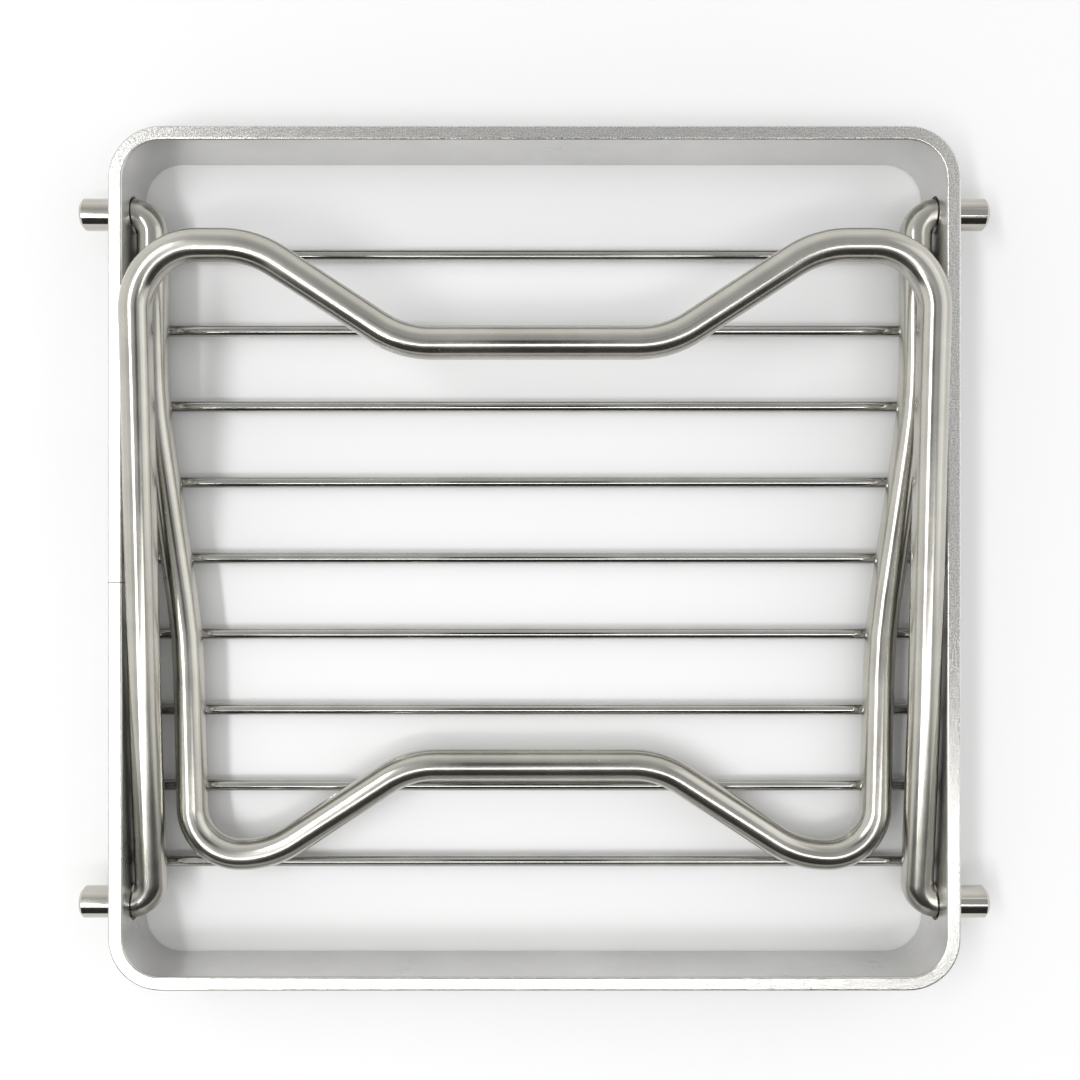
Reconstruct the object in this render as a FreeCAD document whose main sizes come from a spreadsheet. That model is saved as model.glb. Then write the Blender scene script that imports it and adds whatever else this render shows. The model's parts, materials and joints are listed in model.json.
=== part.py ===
"""Folding wire rack: a flat-bar ring, nine welded cross wires and two swing-out wire legs.

Millimetres. +Z is up, the ring stands on Z = 0 and the origin is the middle of its underside.
The upper leg hinges at the -Y end and lies over the lower leg, which hinges at the +Y end.
"""
import FreeCAD, Part
import math
import os

DOC = FreeCAD.newDocument("folding_rack")
SHEET = DOC.addObject("Spreadsheet::Sheet", "Dimensions")

DRIVING = {
    # flat-bar ring
    "ring_width": 210.0,
    "ring_depth": 213.0,
    "bar_height": 20.0,
    "bar_thick": 3.5,
    "corner_radius": 13.0,
    "rim_round": 0.5,
    # cross wires
    "wire_radius": 1.5,
    "wire_pitch": 19.7,
    "wire_height": 2.2,
    "wire_count": 9,
    "weld_leg": 1.1,
    "weld_foot": 0.66,
    "weld_lip": 0.1,
    # hinges
    "pivot_reach": 87.2,
    "pivot_height": 10.0,
    "pivot_hole_radius": 4.6,
    "pin_reach": 114.6,
    "pin_chamfer": 0.8,
    # legs
    "rod_radius": 4.0,
    "leg_length": 163.0,
    "foot_rise": 23.0,
    "foot_inner": 32.0,
    "foot_slope": 33.0,
    "elbow_radius": 5.4,
    "foot_bend": 24.0,
    "toe_bend": 150.0,
    "upper_rail_hinge": 97.1,
    "upper_rail_toe": 96.1,
    "upper_rail_foot": 95.6,
    "upper_toe_start": 50.0,
    "upper_toe_end": 120.0,
    "upper_corner_bend": 15.5,
    "lower_rail_hinge": 96.9,
    "lower_rail_toe": 88.3,
    "lower_rail_foot": 87.1,
    "lower_toe_start": 48.0,
    "lower_toe_end": 107.0,
    "lower_corner_bend": 12.4,
    "upper_rest_angle": 6.8,
    "lower_rest_angle": -0.8,
    # how far a cutting tool reaches past the metal
    "overrun": 5.0,
}

for row, (alias, value) in enumerate(DRIVING.items(), start=1):
    SHEET.set(f"A{row}", alias)
    SHEET.set(f"B{row}", str(value))
    SHEET.setAlias(f"B{row}", alias)
DOC.recompute()


def size(alias):
    """The value that the spreadsheet holds under an alias."""
    return float(SHEET.get(alias))


def bind(thing, **formulas):
    """Tie properties of an object to formulas over the sheet; __ in a name stands for a dot."""
    for name, formula in formulas.items():
        thing.setExpression(name.replace("__", "."), formula)


def primitive(kind, name, **formulas):
    thing = DOC.addObject(kind, name)
    bind(thing, **formulas)
    return thing


D = "Dimensions."
NEAR = 0.01


def rounded_block(name, inset, over, radius):
    """A box centred on the Z axis, `inset` inside the ring's outline, its upright edges rounded."""
    width = f"({D}ring_width - 2 * {inset})"
    depth = f"({D}ring_depth - 2 * {inset})"
    block = primitive(
        "Part::Box",
        f"{name}_block",
        Length=width,
        Width=depth,
        Height=f"{D}bar_height + 2 * {over}",
        Placement__Base__x=f"-{width} / 2",
        Placement__Base__y=f"-{depth} / 2",
        Placement__Base__z=f"-{over}",
    )
    DOC.recompute()
    upright = [
        number
        for number, edge in enumerate(block.Shape.Edges, start=1)
        if edge.BoundBox.ZLength > size("bar_height") - NEAR
    ]
    rounded = DOC.addObject("Part::Fillet", name)
    rounded.Base = block
    rounded.Edges = [(number, radius, radius) for number in upright]
    DOC.recompute()
    return rounded


def ring():
    """The flat bar bent on the flat into a rounded square, with four hinge holes."""
    outer_radius = size("corner_radius")
    inner_radius = outer_radius - size("bar_thick")
    outer = rounded_block("ring_outer", "0", "0", outer_radius)
    inner = rounded_block("ring_inner", f"{D}bar_thick", f"{D}overrun", inner_radius)
    band = DOC.addObject("Part::Cut", "ring_band")
    band.Base = outer
    band.Tool = inner
    drills = []
    for side, sign in (("front", "-"), ("back", "")):
        drills.append(
            primitive(
                "Part::Cylinder",
                f"hinge_drill_{side}",
                Radius=f"{D}pivot_hole_radius",
                Height=f"{D}ring_width + 2 * {D}overrun",
                Placement__Base__x=f"-{D}ring_width / 2 - {D}overrun",
                Placement__Base__y=f"{sign}{D}pivot_reach",
                Placement__Base__z=f"{D}pivot_height",
            )
        )
        drills[-1].Placement.Rotation = FreeCAD.Rotation(FreeCAD.Vector(0, 1, 0), 90)
    holes = DOC.addObject("Part::MultiFuse", "hinge_drills")
    holes.Shapes = drills
    drilled = DOC.addObject("Part::Cut", "ring_drilled")
    drilled.Base = band
    drilled.Tool = holes
    DOC.recompute()
    rims = []
    for number, edge in enumerate(drilled.Shape.Edges, start=1):
        height = edge.BoundBox.ZMin
        level = edge.BoundBox.ZLength < NEAR
        at_rim = abs(height) < NEAR or abs(height - size("bar_height")) < NEAR
        if level and at_rim:
            rims.append((number, size("rim_round"), size("rim_round")))
    body = DOC.addObject("Part::Fillet", "frame_ring")
    body.Base = drilled
    body.Edges = rims
    body.Label = "frame_ring"
    return body


def wires():
    """Cross wires between the inner faces of the two side walls."""
    made = []
    middle = (size("wire_count") + 1) / 2
    for number in range(1, int(size("wire_count")) + 1):
        wire = primitive(
            "Part::Cylinder",
            f"cross_wire_{number}",
            Radius=f"{D}wire_radius",
            Height=f"{D}ring_width - 2 * {D}bar_thick",
            Placement__Base__x=f"-({D}ring_width / 2 - {D}bar_thick)",
            Placement__Base__y=f"({middle - number}) * {D}wire_pitch",
            Placement__Base__z=f"{D}wire_height",
        )
        wire.Placement.Rotation = FreeCAD.Rotation(FreeCAD.Vector(0, 1, 0), 90)
        wire.Label = wire.Name
        made.append(wire)
    return made


def welds(side, sign):
    """One small fillet weld round each wire where it meets the side wall."""
    beads = []
    middle = (size("wire_count") + 1) / 2
    for number in range(1, int(size("wire_count")) + 1):
        place = {
            "Placement__Base__x": f"{sign} * ({D}ring_width / 2 - {D}bar_thick)",
            "Placement__Base__y": f"({middle - number}) * {D}wire_pitch",
            "Placement__Base__z": f"{D}wire_height",
        }
        cone = primitive(
            "Part::Cone",
            f"weld_cone_{side}_{number}",
            Radius1=f"{D}wire_radius + {D}weld_foot",
            Radius2=f"{D}wire_radius + {D}weld_lip",
            Height=f"{D}weld_leg",
            **place,
        )
        core = primitive(
            "Part::Cylinder",
            f"weld_core_{side}_{number}",
            Radius=f"{D}wire_radius",
            Height=f"{D}weld_leg",
            **place,
        )
        for thing in (cone, core):
            thing.Placement.Rotation = FreeCAD.Rotation(FreeCAD.Vector(0, 1, 0), -90 * sign)
        bead = DOC.addObject("Part::Cut", f"weld_{side}_{number}")
        bead.Base = cone
        bead.Tool = core
        beads.append(bead)
    group = DOC.addObject("Part::Compound", f"wire_welds_{side}")
    group.Links = beads
    group.Label = group.Name
    return group


def bent_wire(points, radii):
    """A wire of straight runs whose inner corners are tangent arcs."""
    edges = []
    start = points[0]
    for before, corner, after, radius in zip(points, points[1:], points[2:], radii):
        inward = (before - corner).normalize()
        outward = (after - corner).normalize()
        half = math.acos(max(-1.0, min(1.0, inward.dot(outward)))) / 2
        setback = radius / math.tan(half)
        centre_way = (inward + outward).normalize()
        centre = corner + centre_way * (radius / math.sin(half))
        enter = corner + inward * setback
        leave = corner + outward * setback
        edges.append(Part.LineSegment(start, enter).toShape())
        edges.append(Part.Arc(enter, centre - centre_way * radius, leave).toShape())
        start = leave
    edges.append(Part.LineSegment(start, points[-1]).toShape())
    return Part.Wire(edges)


def leg_route(which):
    """Centre line of one leg: pins along X at Y = 0, feet towards +Y, in the plane Z = 0."""
    foot_run = size("foot_rise") / math.tan(math.radians(size("foot_slope")))
    shoulder = size("foot_inner") + foot_run
    length = size("leg_length")
    half = [
        (size("pin_reach"), 0.0, 0.0),
        (size(f"{which}_rail_hinge"), 0.0, size("elbow_radius")),
        (size(f"{which}_rail_hinge"), size(f"{which}_toe_start"), size("toe_bend")),
        (size(f"{which}_rail_toe"), size(f"{which}_toe_end"), size("toe_bend")),
        (size(f"{which}_rail_foot"), length, size(f"{which}_corner_bend")),
        (shoulder, length, size("foot_bend")),
        (size("foot_inner"), length - size("foot_rise"), size("foot_bend")),
    ]
    whole = [(-x, y, r) for x, y, r in half] + [(x, y, r) for x, y, r in reversed(half)]
    points = [FreeCAD.Vector(x, y, 0) for x, y, _ in whole]
    return bent_wire(points, [r for _, _, r in whole][1:-1])


def leg(which, turn):
    """A round rod swept along the leg's centre line, its pin ends chamfered."""
    name = f"{which}_leg"
    route = DOC.addObject("Part::Feature", f"{name}_route")
    route.Shape = leg_route(which)
    section = primitive("Part::Circle", f"{name}_section", Radius=f"{D}rod_radius")
    bind(section, Placement__Base__x=f"-{D}pin_reach")
    section.Placement.Rotation = FreeCAD.Rotation(FreeCAD.Vector(0, 1, 0), 90)
    rod = DOC.addObject("Part::Sweep", f"{name}_rod")
    rod.Sections = [section]
    rod.Spine = (route, [f"Edge{n}" for n in range(1, len(route.Shape.Edges) + 1)])
    rod.Solid = True
    rod.Frenet = False
    DOC.recompute()
    reach = size("pin_reach")
    ends = [
        (number, size("pin_chamfer"), size("pin_chamfer"))
        for number, edge in enumerate(rod.Shape.Edges, start=1)
        if abs(abs(edge.BoundBox.Center.x) - reach) < NEAR and edge.BoundBox.XLength < NEAR
    ]
    body = DOC.addObject("Part::Chamfer", name)
    body.Base = rod
    body.Edges = ends
    body.Placement = turn
    body.Label = name
    print(name, "route", round(route.Shape.Length, 2), "mm,", len(ends), "pin ends")
    return body


def leg_turn(end, facing, angle):
    """Where a leg lies: on its hinge axis, its feet towards `facing`, raised by `angle`."""
    upright = FreeCAD.Rotation(FreeCAD.Vector(1, 0, 0), angle)
    about = FreeCAD.Rotation(FreeCAD.Vector(0, 0, 1), 0 if facing > 0 else 180)
    place = FreeCAD.Vector(0, end * size("pivot_reach"), size("pivot_height"))
    return FreeCAD.Placement(place, about.multiply(upright))


def build():
    parts = [ring()] + wires()
    parts.append(welds("left", -1))
    parts.append(welds("right", 1))
    parts.append(leg("upper", leg_turn(-1, 1, size("upper_rest_angle"))))
    parts.append(leg("lower", leg_turn(1, -1, size("lower_rest_angle"))))
    DOC.recompute()
    return parts


def check(parts):
    for thing in DOC.Objects:
        if "Invalid" in thing.State or "Error" in thing.State:
            raise RuntimeError(f"{thing.Name} did not build: {thing.State}")
    for part in parts:
        shape = part.Shape
        if shape.isNull() or not shape.isValid() or not shape.Solids:
            raise RuntimeError(f"{part.Label} has no valid solid")


PARTS = build()
check(PARTS)
os.makedirs("parts", exist_ok=True)
for part in PARTS:
    part.Shape.exportStep(os.path.join("parts", f"{part.Label}.step"))
    box = part.Shape.BoundBox
    print(part.Label, len(part.Shape.Solids), "solid(s)", round(part.Shape.Volume, 1), "mm3",
          [round(v, 2) for v in (box.XMin, box.YMin, box.ZMin, box.XMax, box.YMax, box.ZMax)])
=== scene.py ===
"""Looks of the folding wire rack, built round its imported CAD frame. Metres, in the frame's axes."""

import json
import math

import bmesh
import bpy
from mathutils import Matrix, Vector, noise


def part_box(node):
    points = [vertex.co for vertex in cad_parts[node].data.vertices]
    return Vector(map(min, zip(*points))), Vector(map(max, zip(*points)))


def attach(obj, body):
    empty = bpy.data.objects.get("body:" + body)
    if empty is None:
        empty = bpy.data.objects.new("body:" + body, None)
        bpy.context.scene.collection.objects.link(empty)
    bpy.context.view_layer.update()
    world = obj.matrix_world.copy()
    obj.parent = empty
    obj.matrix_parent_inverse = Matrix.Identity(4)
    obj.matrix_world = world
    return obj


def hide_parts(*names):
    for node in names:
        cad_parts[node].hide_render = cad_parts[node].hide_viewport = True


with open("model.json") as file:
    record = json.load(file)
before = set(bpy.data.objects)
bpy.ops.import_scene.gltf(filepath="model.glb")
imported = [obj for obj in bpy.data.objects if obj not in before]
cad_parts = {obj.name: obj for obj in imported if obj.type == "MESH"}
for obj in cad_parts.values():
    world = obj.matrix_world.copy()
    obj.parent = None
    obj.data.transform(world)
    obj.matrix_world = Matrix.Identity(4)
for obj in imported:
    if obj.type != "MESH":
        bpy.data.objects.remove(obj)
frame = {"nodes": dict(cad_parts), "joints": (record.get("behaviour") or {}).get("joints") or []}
bpy.context.view_layer.update()
RING_LOW, RING_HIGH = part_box("frame_ring")

# the two legs: one bent rod each
ROD_RADIUS = 0.004
PIN_CHAMFER = 0.0008
LEG_LENGTH = 0.163
FOOT_RISE = 0.023
FOOT_INNER = 0.032
FOOT_SLOPE = math.radians(33)
ELBOW_BEND = 0.0054
TOE_BEND = 0.15
FOOT_BEND = 0.024
LEGS = {
    "upper": {"hinge": 0.0971, "toe": 0.0961, "foot": 0.0956, "toe_start": 0.050, "toe_end": 0.120,
              "corner": 0.0155, "rest": math.radians(6.8), "facing": 1},
    "lower": {"hinge": 0.0969, "toe": 0.0883, "foot": 0.0871, "toe_start": 0.048, "toe_end": 0.107,
              "corner": 0.0124, "rest": math.radians(-0.8), "facing": -1},
}

# how finely rods, wires and their bends are divided
ROD_SIDES = 48
WIRE_SIDES = 32
WIRE_RUNS = 24
ARC_STEP = math.radians(4)

# weld beads at the wire ends
WELD_LENGTH = 0.0011
WELD_FLARE = 0.00062
WELD_TUCK = 0.00003
WELD_SIDES = 28
WELD_RINGS = 7
WELD_LUMP = 0.00012
LUMPS_PER_METRE = 1400

# the ring's bar: its bent corners, and the butt seam in its left wall
CORNER_RADIUS = 0.013
CORNER_FADE = 0.008
SEAM_Y = -0.006
SEAM_HALF_WIDTH = 0.00013

# camera, looking straight down
CAMERA_PLACE = (-0.0031, 0.0013, 0.318)
SENSOR_MM = 36.0
LENS_MM = 40.4
SHIFT_X = 0.0167
SHIFT_Y = 0.012
NEAR_CLIP = 0.01

# panel lights: name, place, width, height, radiance, colour
LAMPS = [
    ("left_strip", (-0.56, -0.10, 1.08), 1.20, 0.11, 14.5, (1.0, 1.0, 0.99)),
    ("front_strip", (0.10, -0.43, 1.12), 0.90, 0.12, 5.2, (1.0, 1.0, 0.99)),
    ("right_panel", (0.62, 0.16, 0.50), 0.70, 0.50, 0.55, (1.0, 1.0, 1.0)),
]

# black flags: name, width, height, place, the point that each faces
FLAGS = [
    ("front_flag", 1.20, 0.56, (0.06, -0.36, 0.34), (0.06, 0.0, 0.34)),
    ("overhead_flag", 0.09, 0.16, (0.0, 0.02, 0.345), (0.0, 0.02, 0.0)),
]

# the pale room
WALL_COLOUR = (0.90, 0.895, 0.865, 1)
CEILING_COLOUR = (0.43, 0.43, 0.435, 1)
WINDOW_COLOUR = (1.0, 1.0, 0.98, 1)
WINDOW_SHARE = 0.18
ROOM_STRENGTH = 1.12

FLOOR_SIDE = 40.0
FLOOR_GAP = 0.0001


# ---------------------------------------------------------------- node helpers


class Nodes:
    """Short calls for building one material's node tree."""

    def __init__(self, tree):
        self.tree = tree

    def add(self, kind, inputs=None, **settings):
        node = self.tree.nodes.new(kind)
        for name, value in settings.items():
            setattr(node, name, value)
        for name, value in (inputs or {}).items():
            self.feed(node.inputs[name], value)
        return node

    def feed(self, socket, value):
        if isinstance(value, bpy.types.NodeSocket):
            self.tree.links.new(value, socket)
        else:
            socket.default_value = value

    def math(self, operation, a, b=0.0):
        node = self.add("ShaderNodeMath", operation=operation)
        self.feed(node.inputs[0], a)
        self.feed(node.inputs[1], b)
        return node.outputs[0]

    def stretch(self, vector, scale):
        node = self.add("ShaderNodeVectorMath", operation="MULTIPLY")
        self.feed(node.inputs[0], vector)
        node.inputs[1].default_value = scale
        return node.outputs[0]

    def blend(self, value, other, share):
        """value, with `share` of it given over to other."""
        return self.math("ADD", self.math("MULTIPLY", value, 1 - share),
                         self.math("MULTIPLY", other, share))

    def noise(self, vector, scale, detail=3.0, rough=0.55):
        node = self.add("ShaderNodeTexNoise", {
            "Vector": vector, "Scale": scale, "Detail": detail, "Roughness": rough})
        return node.outputs["Fac"]

    def spread(self, value, low, high, to_low=0.0, to_high=1.0):
        """value from low..high carried over to to_low..to_high, and held there."""
        node = self.add("ShaderNodeMapRange", {
            "Value": value, "From Min": low, "From Max": high, "To Min": to_low, "To Max": to_high})
        return node.outputs["Result"]

    def mix(self, share, a, b):
        node = self.add("ShaderNodeMix", data_type="RGBA")
        self.feed(node.inputs["Factor"], share)
        self.feed(node.inputs[6], a)
        self.feed(node.inputs[7], b)
        return node.outputs[2]

    def mix_values(self, share, a, b):
        node = self.add("ShaderNodeMix", data_type="FLOAT")
        self.feed(node.inputs["Factor"], share)
        self.feed(node.inputs[2], a)
        self.feed(node.inputs[3], b)
        return node.outputs[0]


def new_material(name):
    material = bpy.data.materials.new(name)
    material.use_nodes = True
    material.node_tree.nodes.clear()
    return material, Nodes(material.node_tree)


def grey(value, warmth=0.0):
    """A linear RGBA grey; warmth lowers blue and, by a fifth as much, green."""
    return (value, value * (1 - warmth / 5), value * (1 - warmth), 1.0)


def finish_surface(nodes, colour, roughness, height, depth, metallic, bump_strength):
    """Shader and output: relief from height, depth metres deep."""
    bump = nodes.add("ShaderNodeBump", {
        "Height": height, "Distance": depth, "Strength": bump_strength})
    shader = nodes.add("ShaderNodeBsdfPrincipled", {
        "Base Color": colour, "Metallic": metallic, "Roughness": roughness,
        "Normal": bump.outputs["Normal"]})
    output = nodes.add("ShaderNodeOutputMaterial")
    nodes.feed(output.inputs["Surface"], shader.outputs["BSDF"])


def metal(nodes, colour, roughness, height, depth):
    finish_surface(nodes, colour, roughness, height, depth, metallic=1.0, bump_strength=1.0)


def drawn_steel(name, light, dark, smooth, rough, line_depth):
    """Drawn rod: fine lines along it, cloudy polish, a few small marks, smoother pin ends."""
    line_pitch = (14, 4200, 1)
    mark_pitch = (900, 1400, 1)
    cloud_pitch = 70.0
    nick_roughness = 0.12
    pin_fade = 0.001
    pin_smoothing = 0.45
    material, nodes = new_material(name)
    along = nodes.add("ShaderNodeUVMap", uv_map="along").outputs["UV"]
    lines = nodes.noise(nodes.stretch(along, line_pitch), 1.0, rough=0.6)
    place = nodes.add("ShaderNodeTexCoord").outputs["Object"]
    clouds = nodes.noise(place, cloud_pitch)
    marks = nodes.noise(nodes.stretch(along, mark_pitch), 1.0, detail=2.0, rough=0.6)
    nick = nodes.spread(marks, 0.72, 0.80)
    tone = nodes.blend(lines, clouds, 0.55)
    colour = nodes.mix(nodes.spread(tone, 0.36, 0.64), dark, light)
    across = nodes.add("ShaderNodeSeparateXYZ", {"Vector": place}).outputs["X"]
    off_middle = nodes.math("ABSOLUTE", across)
    pin = nodes.spread(off_middle, RING_HIGH.x - pin_fade, RING_HIGH.x, 1.0, pin_smoothing)
    even_roughness = nodes.math("MULTIPLY", nodes.spread(tone, 0.35, 0.65, smooth, rough), pin)
    roughness = nodes.math("ADD", even_roughness, nodes.math("MULTIPLY", nick, nick_roughness))
    height = nodes.math("SUBTRACT", nodes.math("MULTIPLY", lines, 0.5), nick)
    metal(nodes, colour, roughness, height, line_depth)
    return material


def bar_steel():
    """Flat bar: satin rolled faces, a coarser ground rim, a fine dark butt seam in the left wall."""
    along, across, upward_pitch = 260, 5200, 2600
    grain_pitch = 2600.0
    cloud_pitch = 38.0
    relief_depth = 0.00004
    seam_depth = 3.0
    material, nodes = new_material("bar_steel_look")
    place = nodes.add("ShaderNodeTexCoord").outputs["Object"]
    axes = nodes.add("ShaderNodeSeparateXYZ", {"Vector": place}).outputs
    normal = nodes.add("ShaderNodeNewGeometry").outputs["True Normal"]
    upward = nodes.add("ShaderNodeSeparateXYZ", {"Vector": normal}).outputs["Z"]
    rim = nodes.spread(nodes.math("ABSOLUTE", upward), 0.55, 0.85)
    straight = RING_HIGH.x - CORNER_RADIUS
    on_side = nodes.spread(nodes.math("ABSOLUTE", axes["X"]), straight, straight + CORNER_FADE)
    front_streaks = nodes.noise(nodes.stretch(place, (along, across, upward_pitch)), 1.0, 4.0, 0.7)
    side_streaks = nodes.noise(nodes.stretch(place, (across, along, upward_pitch)), 1.0, 4.0, 0.7)
    streaks = nodes.mix_values(on_side, front_streaks, side_streaks)
    grain = nodes.noise(place, grain_pitch, 2.0, 0.7)
    clouds = nodes.noise(place, cloud_pitch, 4.0, 0.6)

    face_tone = nodes.blend(clouds, streaks, 0.3)
    face_colour = nodes.mix(nodes.spread(face_tone, 0.35, 0.65), grey(0.60, 0.03), grey(0.71, 0.02))
    face_rough = nodes.spread(face_tone, 0.35, 0.65, 0.26, 0.38)
    face_relief = nodes.math("MULTIPLY", streaks, 0.25)

    rim_tone = nodes.blend(streaks, grain, 0.55)
    rim_colour = nodes.mix(nodes.spread(rim_tone, 0.36, 0.62), grey(0.50, 0.06), grey(0.86, 0.04))
    rim_rough = nodes.spread(rim_tone, 0.36, 0.62, 0.17, 0.30)

    from_seam = nodes.math("ABSOLUTE", nodes.math("SUBTRACT", axes["Y"], SEAM_Y))
    in_seam = nodes.spread(from_seam, SEAM_HALF_WIDTH * 0.6, SEAM_HALF_WIDTH, 1.0, 0.0)
    seam = nodes.math("MULTIPLY", in_seam, nodes.math("LESS_THAN", axes["X"], 0.0))

    colour = nodes.mix(seam, nodes.mix(rim, face_colour, rim_colour), grey(0.04))
    roughness = nodes.mix_values(rim, face_rough, rim_rough)
    relief = nodes.mix_values(rim, face_relief, rim_tone)
    height = nodes.math("SUBTRACT", relief, nodes.math("MULTIPLY", seam, seam_depth))
    metal(nodes, colour, roughness, height, relief_depth)
    return material


def weld_steel():
    """Small cleaned weld: darker, straw-tinted, finely rippled."""
    ripple_pitch = (5200, 1500, 1500)
    spot_pitch = 1500.0
    ripple_depth = 0.0001
    material, nodes = new_material("weld_steel_look")
    place = nodes.add("ShaderNodeTexCoord").outputs["Object"]
    ripple = nodes.noise(nodes.stretch(place, ripple_pitch), 1.0, detail=2.0)
    spots = nodes.noise(place, spot_pitch)
    colour = nodes.mix(nodes.spread(spots, 0.38, 0.62), grey(0.20, 0.16), grey(0.46, 0.10))
    roughness = nodes.spread(spots, 0.38, 0.62, 0.36, 0.55)
    metal(nodes, colour, roughness, ripple, ripple_depth)
    return material


def floor_paper():
    """Smooth white sheet with a barely visible mottle."""
    mottle_pitch = 9.0
    fibre_pitch = 700.0
    fibre_depth = 0.00002
    dull_white = (0.86, 0.86, 0.875, 1)
    clean_white = (0.90, 0.90, 0.905, 1)
    material, nodes = new_material("floor_look")
    place = nodes.add("ShaderNodeTexCoord").outputs["Object"]
    mottle = nodes.noise(place, mottle_pitch, detail=4.0)
    fibre = nodes.noise(place, fibre_pitch)
    colour = nodes.mix(nodes.spread(mottle, 0.35, 0.65), dull_white, clean_white)
    roughness = nodes.spread(fibre, 0.35, 0.65, 0.5, 0.62)
    finish_surface(nodes, colour, roughness, fibre, fibre_depth, metallic=0.0, bump_strength=0.3)
    return material


# ---------------------------------------------------------------- meshes


def mesh_object(name, shape, material):
    mesh = bpy.data.meshes.new(name)
    bmesh.ops.recalc_face_normals(shape, faces=shape.faces)
    shape.to_mesh(mesh)
    shape.free()
    for polygon in mesh.polygons:
        polygon.use_smooth = True
    mesh.materials.append(material)
    made = bpy.data.objects.new(name, mesh)
    bpy.context.scene.collection.objects.link(made)
    return made


def planar_line(corners, radii):
    """Points and tangents of a flat route of straight runs and tangent arcs."""
    points, tangents = [corners[0]], [(corners[1] - corners[0]).normalized()]
    for before, corner, after, radius in zip(corners, corners[1:], corners[2:], radii):
        way_in = (corner - before).normalized()
        way_out = (after - corner).normalized()
        turn = way_in.angle(way_out)
        side = (way_out - way_in * way_out.dot(way_in)).normalized()
        enter = corner - way_in * radius * math.tan(turn / 2)
        centre = enter + side * radius
        steps = max(2, math.ceil(turn / ARC_STEP))
        for step in range(steps + 1):
            angle = turn * step / steps
            points.append(centre - side * radius * math.cos(angle) + way_in * radius * math.sin(angle))
            tangents.append(way_in * math.cos(angle) + side * math.sin(angle))
    points.append(corners[-1])
    tangents.append((corners[-1] - corners[-2]).normalized())
    return points, tangents


def tube(name, points, tangents, radius, chamfer, sides, plane_normal, material):
    """A round rod along a flat line: closed ends, chamfered or square, and a UV map in metres."""
    (first, start), *between, (last, finish) = zip(points, tangents)
    stations = [(point, tangent, radius) for point, tangent in between]
    if chamfer:
        stations.insert(0, (first + start * chamfer, start, radius))
        stations.append((last - finish * chamfer, finish, radius))
    stations.insert(0, (first, start, radius - chamfer))
    stations.append((last, finish, radius - chamfer))
    shape = bmesh.new()
    uv = shape.loops.layers.uv.new("along")
    rings, lengths, travelled = [], [], 0.0
    for number, (point, tangent, reach) in enumerate(stations):
        if number:
            travelled += (point - stations[number - 1][0]).length
        lengths.append(travelled)
        side = tangent.cross(plane_normal).normalized()
        ring = []
        for k in range(sides):
            angle = 2 * math.pi * k / sides
            ring.append(shape.verts.new(
                point + reach * (side * math.cos(angle) + plane_normal * math.sin(angle))))
        rings.append(ring)
    girth = 2 * math.pi * radius
    for number in range(len(rings) - 1):
        for k in range(sides):
            nxt = (k + 1) % sides
            face = shape.faces.new(
                (rings[number][k], rings[number][nxt], rings[number + 1][nxt], rings[number + 1][k]))
            corners = ((number, k), (number, k + 1), (number + 1, k + 1), (number + 1, k))
            for loop, (station, step) in zip(face.loops, corners):
                loop[uv].uv = (lengths[station], girth * step / sides)
    for ring in (rings[0], rings[-1]):
        cap = shape.faces.new(ring)
        for loop in cap.loops:
            loop[uv].uv = (loop.vert.co.y, loop.vert.co.z)
    for ring in (rings[0], rings[1], rings[-2], rings[-1]) if chamfer else (rings[0], rings[-1]):
        for near, far in zip(ring, ring[1:] + ring[:1]):
            shape.edges.get((near, far)).smooth = False
    return mesh_object(name, shape, material)


def leg(which, material):
    """One leg's rod, bent, then laid on its hinge axis at its rest angle."""
    sizes = LEGS[which]
    joint = next(j for j in frame["joints"] if j["child"] == f"{which}_leg")
    pin_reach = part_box(f"{which}_leg")[1].x
    shoulder = FOOT_INNER + FOOT_RISE / math.tan(FOOT_SLOPE)
    half = [
        (pin_reach, 0.0, 0.0),
        (sizes["hinge"], 0.0, ELBOW_BEND),
        (sizes["hinge"], sizes["toe_start"], TOE_BEND),
        (sizes["toe"], sizes["toe_end"], TOE_BEND),
        (sizes["foot"], LEG_LENGTH, sizes["corner"]),
        (shoulder, LEG_LENGTH, FOOT_BEND),
        (FOOT_INNER, LEG_LENGTH - FOOT_RISE, FOOT_BEND),
    ]
    whole = [(-x, y, r) for x, y, r in half] + [(x, y, r) for x, y, r in reversed(half)]
    corners = [Vector((x, y, 0)) for x, y, _ in whole]
    points, tangents = planar_line(corners, [r for _, _, r in whole][1:-1])
    rod = tube(f"{which}_leg_rod", points, tangents, ROD_RADIUS, PIN_CHAMFER, ROD_SIDES,
               Vector((0, 0, 1)), material)
    about = Matrix.Rotation(0.0 if sizes["facing"] > 0 else math.pi, 4, "Z")
    raised = Matrix.Rotation(sizes["rest"], 4, "X")
    rod.data.transform(Matrix.Translation(joint["pos_m"]) @ about @ raised)
    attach(rod, f"{which}_leg")
    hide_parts(f"{which}_leg")


def wire(node, material):
    """One straight cross wire, from wall to wall."""
    low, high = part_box(node)
    middle = (low + high) / 2
    ends = [Vector((low.x, middle.y, middle.z)), Vector((high.x, middle.y, middle.z))]
    points = [ends[0].lerp(ends[1], step / WIRE_RUNS) for step in range(WIRE_RUNS + 1)]
    tangents = [Vector((1, 0, 0))] * len(points)
    made = tube(f"{node}_rod", points, tangents, (high.y - low.y) / 2, 0.0, WIRE_SIDES,
                Vector((0, 0, 1)), material)
    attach(made, "frame")
    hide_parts(node)


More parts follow.
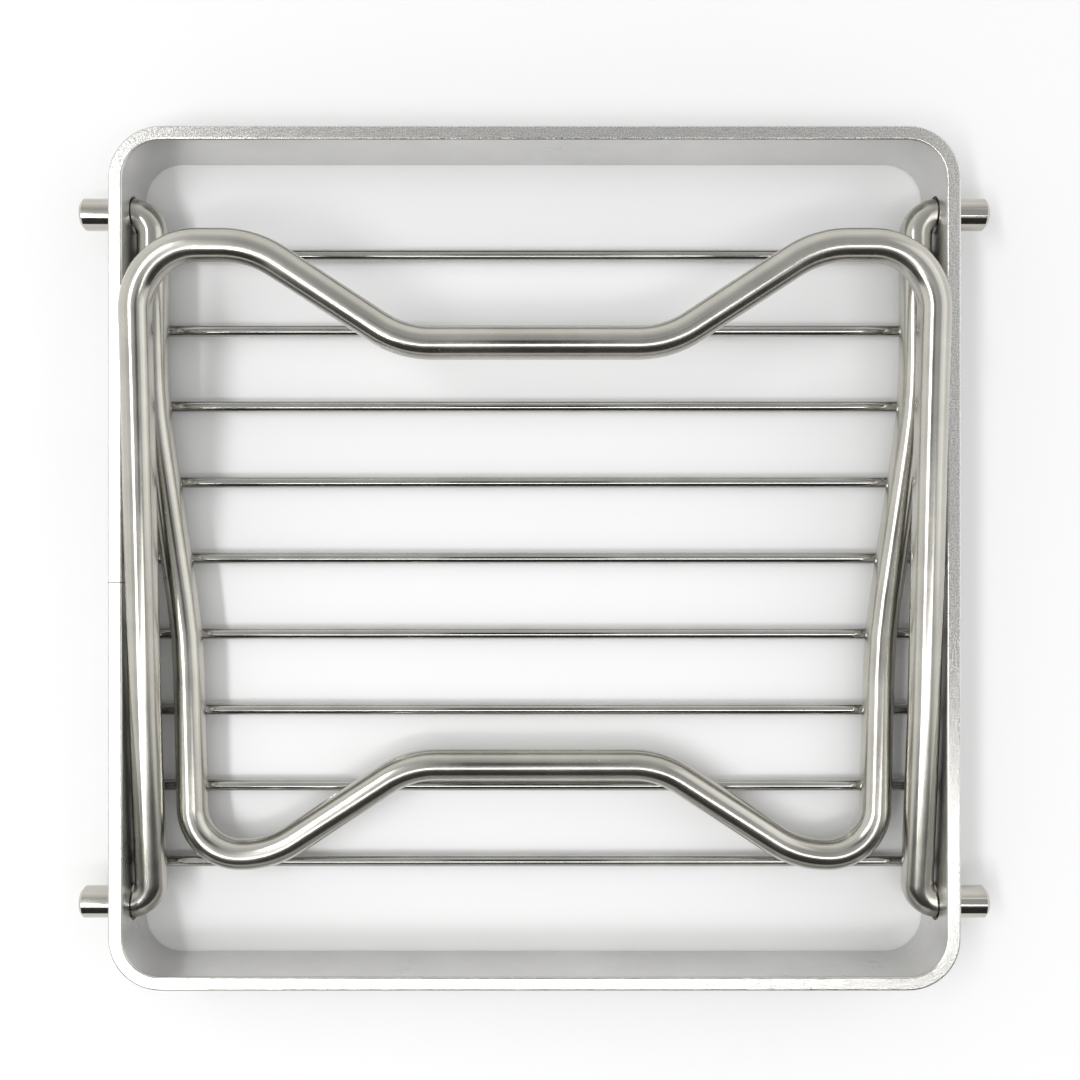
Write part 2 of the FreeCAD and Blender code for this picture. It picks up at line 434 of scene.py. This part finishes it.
def welds(side, sign, wire_boxes, material):
    """Lumpy collars, one round each wire end, flaring out onto the wall."""
    shape = bmesh.new()
    for low, high in wire_boxes:
        middle = (low + high) / 2
        radius = (high.y - low.y) / 2
        wall = high.x if sign > 0 else low.x
        rings = []
        for step in range(WELD_RINGS + 1):
            share = step / WELD_RINGS
            reach = radius + WELD_FLARE * (1 - share) ** 2 - WELD_TUCK * share
            ring = []
            for k in range(WELD_SIDES):
                angle = 2 * math.pi * k / WELD_SIDES
                way = Vector((0, math.cos(angle), math.sin(angle)))
                spot = Vector((wall - sign * WELD_LENGTH * share, middle.y, middle.z)) + way * reach
                bulge = math.sin(math.pi * min(1, share + 0.15))
                lump = WELD_LUMP * bulge * noise.noise(spot * LUMPS_PER_METRE)
                ring.append(shape.verts.new(spot + way * lump))
            rings.append(ring)
        for near, far in zip(rings, rings[1:]):
            for k in range(WELD_SIDES):
                nxt = (k + 1) % WELD_SIDES
                shape.faces.new((near[k], near[nxt], far[nxt], far[k]))
        shape.faces.new(rings[0])
        shape.faces.new(rings[-1])
    made = mesh_object(f"weld_beads_{side}", shape, material)
    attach(made, "frame")
    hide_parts(f"wire_welds_{side}")


# ---------------------------------------------------------------- studio


def flat_panel(name, width, depth, place, material):
    shape = bmesh.new()
    bmesh.ops.create_grid(shape, x_segments=1, y_segments=1, size=0.5)
    made = mesh_object(name, shape, material)
    made.scale = (width, depth, 1)
    made.location = place
    return made


def aimed(thing, place, target=(0, 0, 0)):
    """Put a lamp or flag at a place, its face towards the target."""
    thing.location = place
    thing.rotation_mode = "QUATERNION"
    thing.rotation_quaternion = (Vector(target) - Vector(place)).to_track_quat("-Z", "Y")


def panel_light(name, place, width, height, brightness, colour):
    """A soft panel aimed at the rack; brightness is its radiance."""
    data = bpy.data.lights.new(name, "AREA")
    data.shape = "RECTANGLE"
    data.size, data.size_y = width, height
    data.energy = brightness * math.pi * width * height
    data.color = colour
    lamp = bpy.data.objects.new(name, data)
    bpy.context.scene.collection.objects.link(lamp)
    aimed(lamp, place)


def dark_flag(name, width, height, place, target):
    """A black studio flag that shows only as a reflection in the metal."""
    material, nodes = new_material(f"{name}_look")
    cloth = nodes.add("ShaderNodeBsdfPrincipled", {"Base Color": grey(0.02), "Roughness": 1.0})
    output = nodes.add("ShaderNodeOutputMaterial")
    nodes.feed(output.inputs["Surface"], cloth.outputs["BSDF"])
    flag = flat_panel(name, width, height, place, material)
    aimed(flag, place, target)
    flag.visible_camera = False
    flag.visible_diffuse = False
    flag.visible_shadow = False


def room_light():
    """Pale room: bright low walls, a greyer ceiling, brighter towards -X."""
    world = bpy.data.worlds.new("pale_room")
    bpy.context.scene.world = world
    world.use_nodes = True
    nodes = Nodes(world.node_tree)
    background = world.node_tree.nodes["Background"]
    way = nodes.add("ShaderNodeTexCoord").outputs["Generated"]
    axes = nodes.add("ShaderNodeSeparateXYZ", {"Vector": way}).outputs
    high = nodes.spread(axes["Z"], 0.35, 0.85)
    room = nodes.mix(high, WALL_COLOUR, CEILING_COLOUR)
    left = nodes.spread(axes["X"], 0.15, -0.75, 0.0, WINDOW_SHARE)
    nodes.feed(background.inputs["Color"], nodes.mix(left, room, WINDOW_COLOUR))
    background.inputs["Strength"].default_value = ROOM_STRENGTH


def camera():
    data = bpy.data.cameras.new("camera")
    data.sensor_width = SENSOR_MM
    data.lens = LENS_MM
    data.shift_x = SHIFT_X
    data.shift_y = SHIFT_Y
    data.clip_start = NEAR_CLIP
    made = bpy.data.objects.new("camera", data)
    made.location = CAMERA_PLACE
    bpy.context.scene.collection.objects.link(made)
    bpy.context.scene.camera = made


camera()
room_light()
for lamp in LAMPS:
    panel_light(*lamp)
for flag in FLAGS:
    dark_flag(*flag)
flat_panel("floor", FLOOR_SIDE, FLOOR_SIDE, (0, 0, RING_LOW.z - FLOOR_GAP), floor_paper())

rod_steel = drawn_steel("rod_steel_look", light=grey(0.59, 0.10), dark=grey(0.47, 0.11),
                        smooth=0.16, rough=0.25, line_depth=0.0000014)
wire_steel = drawn_steel("wire_steel_look", light=grey(0.58, 0.05), dark=grey(0.45, 0.06),
                         smooth=0.07, rough=0.12, line_depth=0.000001)
bead_steel = weld_steel()
ring_steel = bar_steel()

ring = frame["nodes"]["frame_ring"]
for material_slot in ring.material_slots:
    material_slot.material = ring_steel

wire_nodes = sorted(name for name in frame["nodes"] if name.startswith("cross_wire_"))
wire_boxes = [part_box(name) for name in wire_nodes]
for which in LEGS:
    leg(which, rod_steel)
for name in wire_nodes:
    wire(name, wire_steel)
welds("left", -1, wire_boxes, bead_steel)
welds("right", 1, wire_boxes, bead_steel)

bpy.context.scene.view_settings.view_transform = "Standard"
